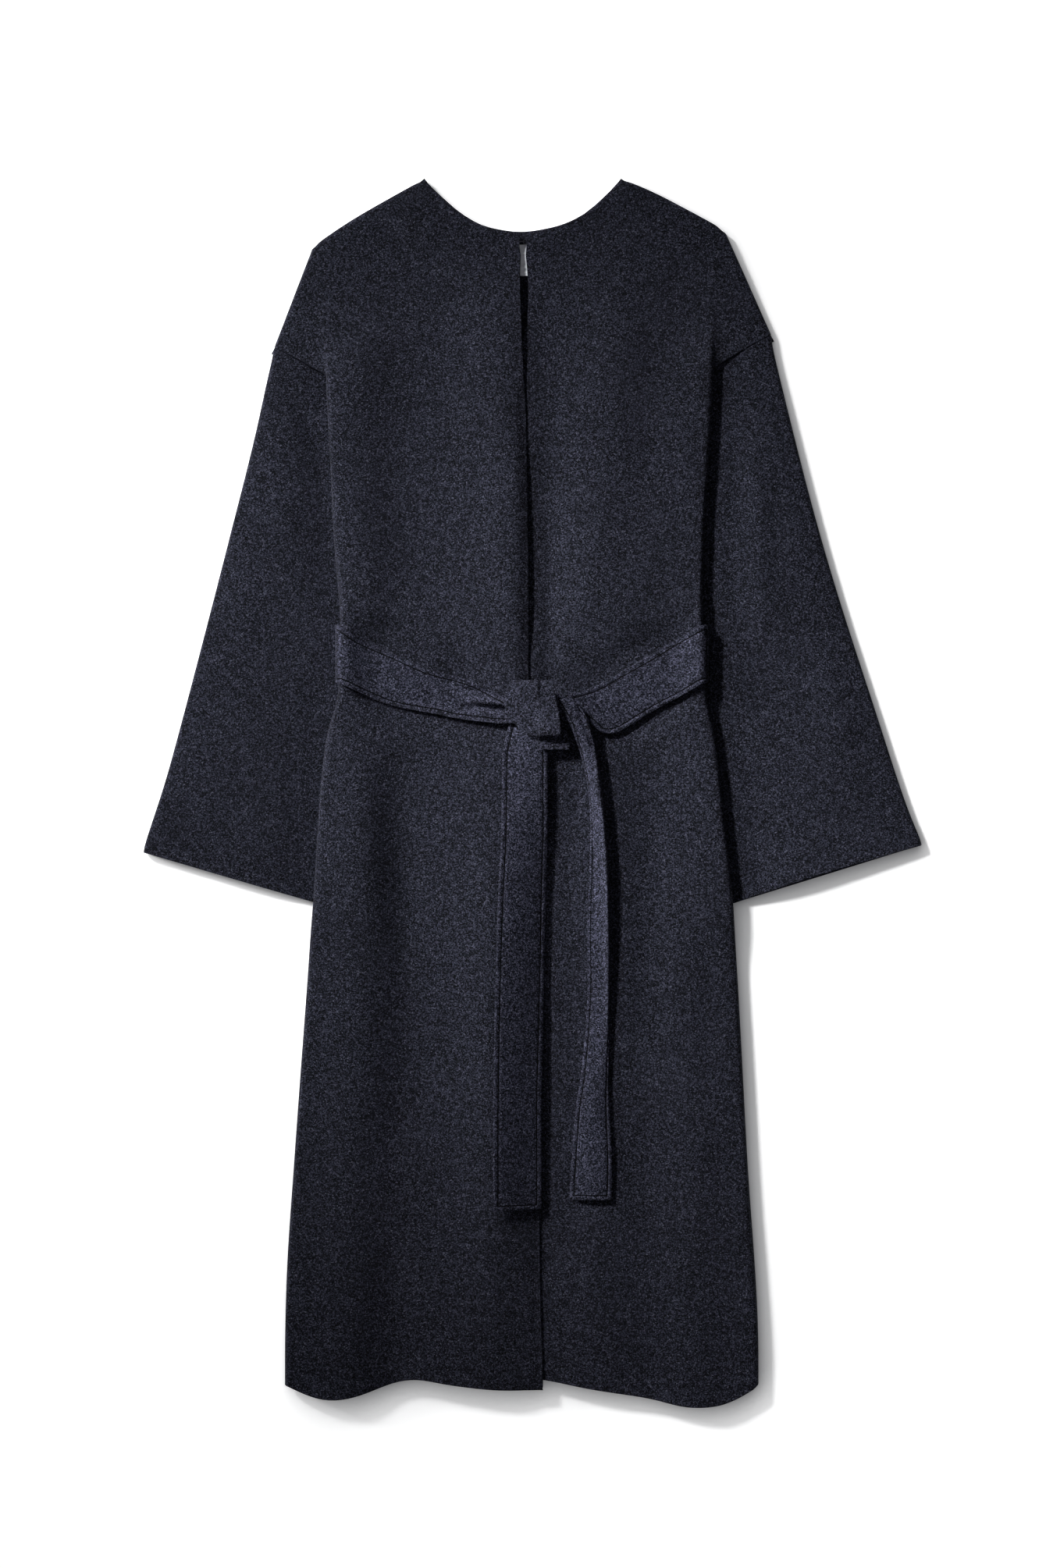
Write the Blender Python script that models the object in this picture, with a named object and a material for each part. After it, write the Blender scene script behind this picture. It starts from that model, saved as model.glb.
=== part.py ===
"""A collarless kimono-cut coat of heavy wool, tied with its own belt and lying on its back.

The coat lies on a flat surface at z = 0 with its sleeves turned down beside it, partly under
the body. Sizes are in millimetres until the last step. In the tables "across" is measured from
the centre back towards the wearer's left, and "up" from the lowest point of the hem.
Every piece of cloth is laid as a middle surface, to which a Solidify modifier gives its thickness.
"""
from bisect import bisect_right
from collections import namedtuple
from math import cos, exp, log, pi, radians, sin, sqrt

import bmesh
import bpy
from mathutils import Vector

MM = 0.001
CLOTH = 2.0  # the coat's wool
BELT_CLOTH = 3.0  # the belt, two layers sewn face to face
SEAM_GAP = 0.3
EDGE_GAP = 0.85  # between the middles of two walls whose ends face each other at a turned edge
ARMHOLE_GAP = 0.5
REST_GAP = 0.4  # between a cloth and what it lies on
BELT_GAP = 0.8
CENTRE_ACROSS = 10.0  # middle of the whole outline, from the centre back
CENTRE_UP = 590.0

# Body, from the hem to the underarm, then up the folds beside the shoulders.
# roll is the radius of the turned edge, front is the height of the fronts near the middle.
Side = namedtuple("Side", "up left right roll front")
BODY = [
    Side(0, -228, 227, 6.5, 12.0),
    Side(39, -228, 227, 6.5, 12.0),
    Side(107, -226.5, 224, 6.3, 11.5),
    Side(197, -220.5, 217.5, 6.0, 11.0),
    Side(287, -214.5, 213, 5.8, 10.5),
    Side(377, -208, 208.5, 5.6, 10.5),
    Side(452, -203, 204, 5.4, 10.5),
    Side(487, -200, 202, 5.2, 10.5),
    Side(554, -196.5, 195, 5.0, 11.0),
    Side(650, -188, 185, 4.6, 12.0),
    Side(685, -176.5, 176.5, 4.3, 12.5),
    Side(723, -174.5, 174, 4.2, 12.5),
    Side(762, -174.5, 173.5, 4.4, 11.5),
    Side(826, -180, 174, 4.6, 10.0),
    Side(919, -184.5, 179.5, 4.6, 9.5),
    Side(1003, -189, 184, 4.6, 9.0),
    Side(1093, -195, 188, 4.2, 8.0),
    Side(1130, -197, 191, 4.0, 8.0),
]
# Shoulders and neck, from one dropped shoulder to the other
Edge = namedtuple("Edge", "across up")
TOP = [
    Edge(-202, 1113), Edge(-193, 1120.5), Edge(-166, 1139), Edge(-130, 1160), Edge(-103, 1175),
    Edge(-94, 1180), Edge(-85, 1167), Edge(-76, 1156), Edge(-58, 1143), Edge(-40, 1133),
    Edge(-22, 1128), Edge(0, 1126), Edge(23, 1129), Edge(41, 1135), Edge(59, 1142.5),
    Edge(77, 1155), Edge(86, 1165.5), Edge(95, 1180), Edge(113, 1173), Edge(131, 1165),
    Edge(149, 1155.5), Edge(167, 1146), Edge(185, 1136), Edge(196, 1128),
]
NECK = (-94, 95)  # the two neck points
BACK_NECK_RISE = 1.5  # the back stands this much above the fronts at the neck
HEM_RIGHT_FRONT = [
    Edge(-228, 21), Edge(-205, 9), Edge(-181, 7), Edge(-164, 9), Edge(-143, 16.5), Edge(-126, 24),
    Edge(-104, 29), Edge(-87, 25), Edge(-58, 21), Edge(-14, 17), Edge(22, 17),
]
HEM_LEFT_FRONT = [
    Edge(-14, 27), Edge(20, 28), Edge(35, 24), Edge(60, 19), Edge(94, 13.5), Edge(128, 8),
    Edge(160, 0), Edge(177, 0), Edge(203, 4.5), Edge(216, 10.5), Edge(227, 22),
]
HEM_BACK = [  # hidden just inside the fronts' hems
    Edge(-228, 26), Edge(-181, 15), Edge(-104, 34), Edge(-30, 33), Edge(30, 33), Edge(94, 22),
    Edge(168, 6), Edge(203, 12), Edge(227, 27),
]
# Edges of the two fronts: over laps under it below the neck slit
Front = namedtuple("Front", "up over under")
FRONTS = [
    Front(0, 20, -8), Front(114, 17, -9), Front(189, 16.5, -10), Front(639, 11, -12),
    Front(695, 6, -12), Front(766, 6, -10), Front(930, 4, -7), Front(976, 3, -3),
    Front(1000, 0.8, 2.2), Front(1015, 0.2, 3.0), Front(1059, -1.5, 6.0), Front(1087, -2.3, 6.0),
    Front(1105, -1.6, 3.4), Front(1121, -0.4, 1.2), Front(1130, -0.3, 1.0),
]
SLIT_FOOT = 1000
SLIT_REACH = 45.0  # the fronts give way to the slit over this width

# Dropped shoulders and sleeves. Each sleeve is a flat tube between an outer fold and an inner one
# that lies under the body. side is -1 for the wearer's right.
Sleeve = namedtuple("Sleeve", "side armhole_out armhole_in cuff_out cuff_in gape")
RIGHT_SLEEVE = Sleeve(-1, (-238.5, 1018), (-62, 923), (-364, 532), (-172, 476), 0.0)
LEFT_SLEEVE = Sleeve(1, (239.5, 1030), (66, 931), (384, 539), (192.5, 480), 2.5)
SLEEVES = (RIGHT_SLEEVE, LEFT_SLEEVE)
SHOULDER_EDGE = {
    -1: [Edge(-238.5, 1018), Edge(-232.5, 1036.5), Edge(-224, 1059), Edge(-216, 1081.5), Edge(-202, 1113)],
    1: [Edge(239.5, 1030), Edge(230.5, 1054), Edge(221.5, 1078), Edge(212, 1099.5), Edge(196, 1128)],
}
SLEEVE_EDGE = {
    -1: [Edge(-238.5, 1018), Edge(-244.5, 991.5), Edge(-253.5, 946.5), Edge(-276, 856.5),
         Edge(-299, 766.5), Edge(-322.5, 676.5), Edge(-347, 586.5), Edge(-355, 564), Edge(-364, 532)],
    1: [Edge(239.5, 1030), Edge(247, 991.5), Edge(258, 946.5), Edge(281, 856.5), Edge(307.5, 766.5),
        Edge(337, 676.5), Edge(366, 586.5), Edge(374, 564), Edge(384, 539)],
}
SLEEVE_HEIGHT = 8.0  # middle of a sleeve's upper cloth where it lies free
PRESSED_HEIGHT = 4.0  # the same under the body
SLEEVE_VALLEY = 36.0  # beside the body a sleeve rises over this width to its free height
SHOULDER_ROLL = 3.5
PRESSED_ROLL = 1.5
STEP_FADE = (1046, 1106)  # the folds beside the shoulders die out between these heights

# Largest folds of each piece: a ridge runs from top to foot, with its reach to either side
Fold = namedtuple("Fold", "top_across top_up foot_across foot_up reach_left reach_right height")
RIGHT_FRONT_FOLDS = [
    Fold(-12, 1080, -2, 705, 78, 30, 9.0),
    Fold(-150, 1040, -150, 740, 45, 45, 3.5),
    Fold(-146, 640, -172, -60, 50, 48, 9.0),
    Fold(-20, 630, -34, -60, 88, 60, 8.5),
    Fold(-118, 240, -84, -60, 26, 40, 4.0),
]
LEFT_FRONT_FOLDS = [
    Fold(88, 1060, 78, 720, 66, 70, 8.5),
    Fold(150, 980, 120, 745, 40, 36, 3.0),
    Fold(76, 610, 70, -60, 48, 60, 5.0),
    Fold(150, 560, 168, -60, 60, 42, 6.0),
]
SLEEVE_FOLDS = {
    -1: [Fold(-232, 960, -300, 520, 34, 48, 2.5), Fold(-262, 760, -244, 480, 40, 36, 2.0)],
    1: [Fold(236, 960, 314, 520, 48, 36, 2.5), Fold(282, 740, 258, 480, 40, 40, 2.0)],
}

# Belt: its place on the back and fronts, and its free ends
BELT_WIDTH = 50.0
BELT_BACK_UP = 723.0
BELT_PRESS = 0.35  # the share of each fold that is left under it
BELT_PRESS_UP = 703.0  # and the heights between which it presses on the fronts
BELT_PRESS_REACH = (18.0, 62.0)
BELT_ROLL = 8.5
BELT_EDGE_GAP = 1.2
Band = namedtuple("Band", "across upper lower lift")
RIGHT_BAND = [
    Band(-178, 751, 695, 0), Band(-161, 739.5, 688, 0), Band(-121.5, 722, 672, 0),
    Band(-87, 707, 666, 0.5), Band(-58.5, 700, 660, 1), Band(-32, 689, 657, 3),
    Band(-19, 681, 655, 4.5), Band(-6, 676, 657, 5.2), Band(12, 672, 657, 5.2),
]
LEFT_BAND = [
    Band(178, 751, 695, 0), Band(153, 739.5, 682.5, 0), Band(127, 724, 669, 0.5),
    Band(106, 712, 656, 1), Band(90, 703, 647, 1.5), Band(80, 697, 645, 2),
    Band(66, 690, 656, 3), Band(52, 686, 664, 5), Band(36, 682, 668, 8), Band(24, 680, 668, 9.7),
]
# Here across is the place along the tail, upper and lower its left and right edges
RIGHT_TAIL = [
    Band(662, -12, 25, 0.6), Band(650, -14, 24, 0.8), Band(630, -18.5, 24, 3), Band(598, -19.5, 24, 5),
    Band(550, -20, 24, 5), Band(501, -22.5, 22.5, 4.5), Band(413, -25.5, 21, 4), Band(303, -27.5, 18.5, 3.5),
    Band(240, -27.7, 18.5, 3), Band(191, -27.7, 18.5, 3),
]
# The left tail stands folded along its length where it leaves the knot, and opens towards its end
Tail = namedtuple("Tail", "up left crest right height lift")
LEFT_TAIL = [
    Tail(684, 24, 36, 44, 2, 12), Tail(676, 31, 45, 53, 4, 12.4), Tail(664, 40, 56, 61, 7, 10),
    Tail(648, 48, 62, 67, 11, 6), Tail(627, 55, 67.5, 72, 15, 2), Tail(600, 62, 71.5, 76, 18, 0.8),
    Tail(560, 65, 76, 80, 18, 0.4), Tail(511, 63.5, 79.5, 83, 16, 0.4), Tail(455, 61.5, 80.5, 84, 14, 0.4),
    Tail(395, 62, 79.5, 84, 12, 0.4), Tail(326, 56, 77, 83, 9, 0.4), Tail(287, 50, 72, 84, 7, 0.4),
    Tail(240, 46, 70, 87, 5, 0.4), Tail(200, 44, 66, 86.5, 4, 0.4),
]
# The knot's face runs from behind its top, over the front, to behind its foot. height is above the
# fronts' cloth there.
Wrap = namedtuple("Wrap", "up left right height")
KNOT_FACE = [
    Wrap(687, -8, 26, 11.95), Wrap(693, -9, 27.5, 14.45), Wrap(696, -10, 28.5, 17.95), Wrap(692, -13, 29.5, 20.45),
    Wrap(683, -17, 31.5, 21.45), Wrap(670, -16.5, 34, 21.45), Wrap(657, -8, 36, 20.45), Wrap(648.5, 1, 36.5, 17.95),
    Wrap(644.5, 7, 34, 14.45), Wrap(648, 9, 32, 11.45),
]
KNOT_FOOT = [
    Wrap(650, 12, 43, 7.6), Wrap(644, 12, 44, 8.0), Wrap(638, 13, 45, 7.8), Wrap(633, 16, 45, 7.2),
    Wrap(631, 20, 44, 6.6),
]

# Small things at the neck
LABEL = (-10, 20, 1086, 1117)  # left, right, foot and top
LABEL_THICKNESS = 0.8
LABEL_LIFT = 3.2
EYE_PLACE = (3.4, 1119.5)
EYE_RADIUS = 2.4
WIRE_RADIUS = 0.45

WOOL = ((0.0160, 0.0170, 0.0265), 0.95, 0.0)
SATIN = ((0.42, 0.43, 0.45), 0.35, 0.0)
STEEL = ((0.20, 0.20, 0.22), 0.35, 1.0)


def ramp(value, start, end):
    """0 at start and beyond, 1 at end and beyond, and smooth between them."""
    share = min(max((value - start) / (end - start), 0.0), 1.0)
    return share * share * (3 - 2 * share)


def mix(first, second, share):
    return first + (second - first) * share


def above(height, floor, softness=0.6):
    """The higher of two heights, rounded where they cross."""
    return floor + softness * log(1 + exp(min((height - floor) / softness, 60.0)))


def read(rows, place, column, key=0):
    """A column's value at a place between the rows, on a smooth curve through them."""
    places = [row[key] for row in rows]
    values = [getattr(row, column) for row in rows]
    step = min(max(bisect_right(places, place) - 1, 0), len(rows) - 2)
    share = min(max((place - places[step]) / (places[step + 1] - places[step]), 0.0), 1.0)

    def slope(i):
        if i in (0, len(rows) - 1):
            return 0.0
        before = (values[i] - values[i - 1]) / (places[i] - places[i - 1])
        after = (values[i + 1] - values[i]) / (places[i + 1] - places[i])
        return 0.0 if before * after <= 0 else 2 * before * after / (before + after)

    gap = places[step + 1] - places[step]
    run = share * share
    rise = run * share
    return (values[step] * (2 * rise - 3 * run + 1) + values[step + 1] * (3 * run - 2 * rise)
            + gap * (slope(step) * (rise - 2 * run + share) + slope(step + 1) * (rise - run)))


def along(rows, share, column):
    """A column's value at a share of the way through a table, on a curve through its rows."""
    place = share * (len(rows) - 1)
    step = min(int(place), len(rows) - 2)
    t = place - step
    values = [getattr(rows[min(max(step + i, 0), len(rows) - 1)], column) for i in (-1, 0, 1, 2)]
    return 0.5 * (2 * values[1] + (values[2] - values[0]) * t
                  + (2 * values[0] - 5 * values[1] + 4 * values[2] - values[3]) * t * t
                  + (3 * values[1] - values[0] - 3 * values[2] + values[3]) * t ** 3)


def ladder(low, high, after_low, before_high, steps):
    """Places from low to high: at set distances from each end, and evenly spread between."""
    first, last = low + after_low[-1], high - before_high[-1]
    middle = [mix(first, last, i / steps) for i in range(1, steps)]
    return [low + d for d in after_low] + middle + [high - d for d in reversed(before_high)]


def turn(radius):
    """Distances from a turned edge at which its quarter circle has points."""
    return [radius * (1 - sin(radians(angle))) for angle in (90, 62, 32, 0)]


def rise(distance, radius):
    """How far up its quarter circle an edge has turned, from 0 at the edge to 1."""
    left = 1 - min(max(distance / radius, 0.0), 1.0)
    return sqrt(1 - left * left)


def side_edge(up, side):
    """Where the middle of the wall stands at the body's side, or at the fold above it."""
    return read(BODY, up, "left" if side < 0 else "right") - side * CLOTH / 2


def beyond(line_start, line_end, place, side):
    """Distance of a place from a line, positive on the line's right seen along it (side 1)."""
    run = Vector(line_end) - Vector(line_start)
    step = Vector(place) - Vector(line_start)
    return side * (run.y * step.x - run.x * step.y) / run.length


def under_sleeve_line(sleeve, across, up):
    """How far below the armhole seam and above the cuff, and how far in from the inner fold."""
    place = (across, up)
    below_seam = beyond(sleeve.armhole_out, sleeve.armhole_in, place, -sleeve.side)
    above_cuff = beyond(sleeve.cuff_in, sleeve.cuff_out, place, -sleeve.side)
    outside_fold = beyond(sleeve.armhole_in, sleeve.cuff_in, place, -sleeve.side)
    return below_seam, above_cuff, outside_fold


def sleeve_share(across, up, start=24, end=76):
    """1 where the back lies on a sleeve, 0 where it lies on the floor.

    start and end are how far inside the sleeve's inner fold the cloth leaves it and comes down.
    """
    share = 0.0
    for sleeve in SLEEVES:
        below_seam, above_cuff, outside_fold = under_sleeve_line(sleeve, across, up)
        outside_body = sleeve.side * (across - side_edge(up, sleeve.side))
        reach = mix(40, 13, ramp(outside_body, -14, 0))
        share = max(share, ramp(below_seam, -reach, -3 - 0.2 * reach) * ramp(above_cuff, -42, -9)
                    * ramp(outside_fold, -end, -start) * ramp(outside_body, 16, 1))
    return share


def belt_share(up):
    reach = abs(up - BELT_BACK_UP)
    return ramp(reach, BELT_WIDTH / 2 + 34, BELT_WIDTH / 2 + 8)


def belt_back_height(across, up):
    """Middle of the belt's stretch under the back."""
    on_sleeve = PRESSED_HEIGHT + CLOTH / 2 + REST_GAP
    return on_sleeve * sleeve_share(across, up, 14, 48) + BELT_CLOTH / 2


def back_height(across, up):
    """Middle of the back, which lies on the floor, the sleeves and the belt."""
    on_sleeve = (PRESSED_HEIGHT + CLOTH / 2 + REST_GAP) * sleeve_share(across, up)
    on_belt = (BELT_CLOTH + BELT_GAP) * belt_share(up)
    return CLOTH / 2 + on_sleeve + on_belt


def ridges(folds, across, up):
    """Height that the folds add at a place."""
    height = 0.0
    for fold in folds:
        share = (fold.top_up - up) / (fold.top_up - fold.foot_up)
        offset = across - mix(fold.top_across, fold.foot_across, share)
        reach = fold.reach_left if offset < 0 else fold.reach_right
        if abs(offset) < reach and -0.12 < share < 1.12:
            fade = ramp(share, -0.12, 0.14) * ramp(share, 1.12, 0.9)
            height += fold.height * fade * cos(offset / reach * pi / 2) ** 2
    return height * mix(BELT_PRESS, 1, ramp(abs(up - BELT_PRESS_UP), *BELT_PRESS_REACH))


def loft(across, up):
    """Height of the fronts without their folds: fuller beside the turned edges."""
    side = -1 if across < 0 else 1
    inside = side * (side_edge(up, side) - across)
    edge = back_height(side_edge(up, side) - side * 9, up) + 2 * read(BODY, up, "roll") + SEAM_GAP
    return mix(read(BODY, up, "front"), edge, ramp(inside, 62, 5))


def under_front_height(across, up):
    height = loft(across, up) + ridges(LEFT_FRONT_FOLDS, across, up)
    return above(height, back_height(across, up) + CLOTH + REST_GAP + 0.3)


def over_front_height(across, up):
    height = loft(across, up) + ridges(RIGHT_FRONT_FOLDS, across, up)
    height = above(height, back_height(across, up) + CLOTH + REST_GAP + 0.3)
    edge = read(FRONTS, up, "under")
    lap = ramp(across, edge - 24, edge - 5) * ramp(up, SLIT_FOOT + 4, SLIT_FOOT - 26)
    return mix(height, above(height, under_front_height(across, up) + CLOTH + REST_GAP + 0.5), lap)


def sleeve_height(sleeve, across, up):
    """Middle of a sleeve's upper cloth: free beside the body, pressed under it."""
    outside = sleeve.side * (across - side_edge(up, sleeve.side))
    free = ramp(outside, 3, SLEEVE_VALLEY)
    folds = ridges(SLEEVE_FOLDS[sleeve.side], across, up)
    return mix(PRESSED_HEIGHT, SLEEVE_HEIGHT + folds, free)


def material(name, look):
    """A material with one colour, roughness and metallic value."""
    colour, roughness, metallic = look
    made = bpy.data.materials.new(name)
    made.use_nodes = True
    shader = made.node_tree.nodes["Principled BSDF"]
    shader.inputs["Base Color"].default_value = (*colour, 1.0)
    shader.inputs["Roughness"].default_value = roughness
    shader.inputs["Metallic"].default_value = metallic
    made.diffuse_color = (*colour, 1.0)
    return made


def to_metres(point):
    across, up, height = point
    return Vector((across - CENTRE_ACROSS, up - CENTRE_UP, height)) * MM


def cloth(name, blocks, thickness=CLOTH, look=WOOL):
    """A wall of cloth round a middle surface, given as lattices of points that share edges."""
    mesh = bpy.data.meshes.new(name)
    shape = bmesh.new()
    for block in blocks:
        rows = [[shape.verts.new(to_metres(point)) for point in row] for row in block]
        for low, high in zip(rows, rows[1:]):
            for i in range(len(low) - 1):
                shape.faces.new((low[i], low[i + 1], high[i + 1], high[i]))
    bmesh.ops.remove_doubles(shape, verts=shape.verts, dist=0.02 * MM)
    shape.to_mesh(mesh)
    shape.free()
    mesh.materials.append(material(name + "_cloth", look))
    mesh.shade_smooth()
    piece = bpy.data.objects.new(name, mesh)
    bpy.context.collection.objects.link(piece)
    wall = piece.modifiers.new("Thickness", "SOLIDIFY")
    wall.thickness = thickness * MM
    wall.offset = 0.0
    wall.use_even_offset = True
    return piece


# Rows of the body from the hem to the armhole seams, by their height at the middle
ROWS = ([0, 6, 18, 42, 80] + list(range(130, 400, 66)) + [430, 462, 488, 518, 552, 592, 628, 654, 674, 698,
        723, 748, 770, 792, 826, 868, 902, 926, 946, 964, 980, 993])
YOKE_ROWS = (0.0, 0.03, 0.09, 0.17, 0.28, 0.45, 0.64, 0.84)
SHOULDER_COLUMNS = 6
NECK_COLUMNS = 3
WING_COLUMNS = 3
TOP_ROLL = 4.4
HEM_LIFT = 0.05
NECK_LIFT = 0.25  # the neck edges stand this much off the floor

Column = namedtuple("Column", "foot head side side_rise outer_rise")


def seam_line(sleeve, across):
    """Height of the armhole seam at a place on it or past its inner end."""
    (out_across, out_up), (in_across, in_up) = sleeve.armhole_out, sleeve.armhole_in
    return mix(out_up, in_up, (across - out_across) / (in_across - out_across))


def yoke_foot(across):
    """Lower edge of the yoke: the armhole seams, and a straight line between the body's folds."""
    folds = [side_edge(1000, sleeve.side) for sleeve in SLEEVES]
    for sleeve, fold in zip(SLEEVES, folds):
        if sleeve.side * (across - fold) >= 0:
            return seam_line(sleeve, across) + ARMHOLE_GAP / 2
    ends = [seam_line(sleeve, fold) for sleeve, fold in zip(SLEEVES, folds)]
    return mix(*ends, (across - folds[0]) / (folds[1] - folds[0])) + ARMHOLE_GAP / 2


def open_neck(across):
    """1 along the neckline, where the edge is free, and 0 along the shoulder seams."""
    return ramp(across, NECK[0], NECK[0] + 9) * ramp(across, NECK[1], NECK[1] - 9)


def middle_columns(places, heads):
    return [Column(foot, head, 0, 1.0, 1.0) for foot, head in zip(places, heads)]


def side_columns(side):
    """Columns at one side, from the outer edge inwards: the wing, then the turned fold."""
    corner = (TOP[0] if side < 0 else TOP[-1]).across - side * CLOTH / 2
    outer = SHOULDER_EDGE[side][0].across - side * CLOTH / 2
    fold = side_edge(1000, side)
    inward = -side
    made = []
    outer_turn = turn(SHOULDER_ROLL)
    width = abs(outer - fold)
    reach = outer_turn + [mix(outer_turn[-1], width, i / WING_COLUMNS) for i in range(1, WING_COLUMNS)]
    for i, distance in enumerate(reach):
        made.append(Column(outer + inward * distance, corner + inward * 0.9 * i, side, 0.0,
                           rise(distance, SHOULDER_ROLL)))
    first = 0.9 * len(reach)
    for distance in turn(TOP_ROLL):
        made.append(Column(fold + inward * distance, corner + inward * (first + 1.3 * distance), side,
                           rise(distance, TOP_ROLL), 1.0))
    return made


def spread(start, end, steps):
    return [mix(start, end, i / steps) for i in range(1, steps + 1)]


def back_columns():
    left, right = side_columns(-1), list(reversed(side_columns(1)))
    steps = 2 * SHOULDER_COLUMNS + 2 * NECK_COLUMNS
    feet = spread(left[-1].foot, right[0].foot, steps)[:-1]
    heads = (spread(left[-1].head, NECK[0], SHOULDER_COLUMNS) + spread(*NECK, 2 * NECK_COLUMNS)
             + spread(NECK[1], right[0].head, SHOULDER_COLUMNS)[:-1])
    return left + middle_columns(feet, heads) + right


def front_columns(side, column):
    """Columns of a front, from its side to its free edge."""
    outside = side_columns(side)
    foot, head = read(FRONTS, 1003, column), read(FRONTS, 1128, column)
    feet = spread(outside[-1].foot, foot, SHOULDER_COLUMNS + NECK_COLUMNS + 1)
    neck = NECK[0] if side < 0 else NECK[1]
    heads = (spread(outside[-1].head, neck, SHOULDER_COLUMNS)
             + spread(neck, head, NECK_COLUMNS + 1))
    return outside + middle_columns(feet, heads)


def seam_height(up, side):
    """Where the turned edges of back and front meet at the body's side."""
    return back_height(side_edge(up, side) - side * 9, up) + read(BODY, up, "roll")


def lower_block(columns, edges, height, seam_offset, hem):
    """The body below the armhole seams, between edges given as functions of the height."""
    block = []
    for level in ROWS:
        share = level / 1003
        ends = [edge(level) for edge in edges]
        feet = [edge(1003) for edge in edges]
        row = []
        for column in with_folds(columns):
            near = min(ends[0], ends[1]) if column.side < 0 else max(ends[0], ends[1])
            if column.side:
                fold = side_edge(1000, column.side)
                across = near - column.side * abs(column.foot - fold)
            else:
                across = mix(ends[0], ends[1], (column.foot - feet[0]) / (feet[1] - feet[0]))
            up = mix(read(hem, across, "up"), yoke_foot(across), share)
            middle = height(across, up) + HEM_LIFT * ramp(share, 0.03, 0)
            if column.side:
                seam = seam_height(up, column.side) + seam_offset
                middle = mix(seam, middle, column.side_rise)
            row.append((across, up, middle))
        block.append(row)
    return block


def with_folds(columns):
    """The columns of the body itself, from one folded edge to the other."""
    return [column for column in columns
            if column.side == 0 or abs(column.foot) <= abs(side_edge(1000, column.side)) + 0.01]


def opening_shift(columns, column_name, up):
    """How far a front's edge stands from the straight line between its two ends."""
    last = columns[-1]
    low, high = yoke_foot(last.foot), read(TOP, last.head, "up")
    return read(FRONTS, up, column_name) - mix(last.foot, last.head, (up - low) / (high - low))


def yoke_block(columns, height, wing_height, seam_offset, neck_rise, opening=None):
    """The panel above the armhole seams, with its wings out to the dropped shoulders.

    opening names the column of FRONTS that a front's free edge follows.
    """
    block = []
    top_turn = list(reversed(turn(TOP_ROLL)))
    for share, drop in [(share, None) for share in YOKE_ROWS] + [(None, drop) for drop in top_turn]:
        row = []
        for column in columns:
            free = open_neck(column.head)
            high = read(TOP, column.head, "up") - 1.15 * (1 - free) + neck_rise * free
            low = yoke_foot(column.foot)
            up = low + share * (high - TOP_ROLL - low) if drop is None else high - drop
            across = mix(column.foot, column.head, (up - low) / (high - low))
            if opening:
                near = ramp(abs(column.foot - columns[-1].foot), SLIT_REACH, 0)
                across += near * opening_shift(columns, opening, up)
            level = wing_height(column, across, up, height)
            turned = min(column.outer_rise, mix(rise(high - up, TOP_ROLL), 1.0, free))
            tip = min(abs(column.head - neck) for neck in NECK)
            seam = CLOTH / 2 + SHOULDER_ROLL + seam_offset * (1 + 1.8 * ramp(tip, 16, 2))
            lifted = level + NECK_LIFT * ramp(high - up, 34, 6) * free
            row.append((across, up, mix(seam, lifted, turned)))
        block.append(row)
    return block


def flat_wing(column, across, up, height):
    return height(across, up)


def stepped_wing(column, across, up, height):
    """A front drops beside the body's fold to the height of the sleeve."""
    if column.side == 0:
        return height(across, up)
    inner = across if column.side_rise > 0 else side_edge(up, column.side) - column.side * TOP_ROLL
    low = SLEEVE_HEIGHT + 1.6 * ramp(column.side * (across - side_edge(up, column.side)), 12, 0)
    return mix(height(inner, up), low, ramp(up, *reversed(STEP_FADE)) * (1 - column.side_rise))


def join(lower, yoke, columns):
    """The lower block ends on the yoke's first row."""
    body = with_folds(columns)
    first = columns.index(body[0])
    return [lower + [yoke[0][first:first + len(body)]], yoke]


def back_panel():
    columns = back_columns()
    edges = (lambda up: side_edge(up, -1), lambda up: side_edge(up, 1))
    lower = lower_block(columns, edges, back_height, -EDGE_GAP / 2, HEM_BACK)
    yoke = yoke_block(columns, back_height, flat_wing, -EDGE_GAP / 2, BACK_NECK_RISE)
    return cloth("back_panel", join(lower, yoke, columns))


def front_panel(name, side, column, height, hem):
    columns = front_columns(side, column)
    edges = (lambda up: side_edge(up, side), lambda up: read(FRONTS, up, column))
    lower = lower_block(columns, edges, height, EDGE_GAP / 2, hem)
    yoke = yoke_block(columns, height, stepped_wing, EDGE_GAP / 2, 0.0, column)
    return cloth(name, join(lower, yoke, columns))


SLEEVE_ROWS = (0.0, 0.03, 0.08, 0.16, 0.26, 0.36, 0.46, 0.56, 0.66, 0.76, 0.86, 0.94, 0.985, 1.0)


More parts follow.
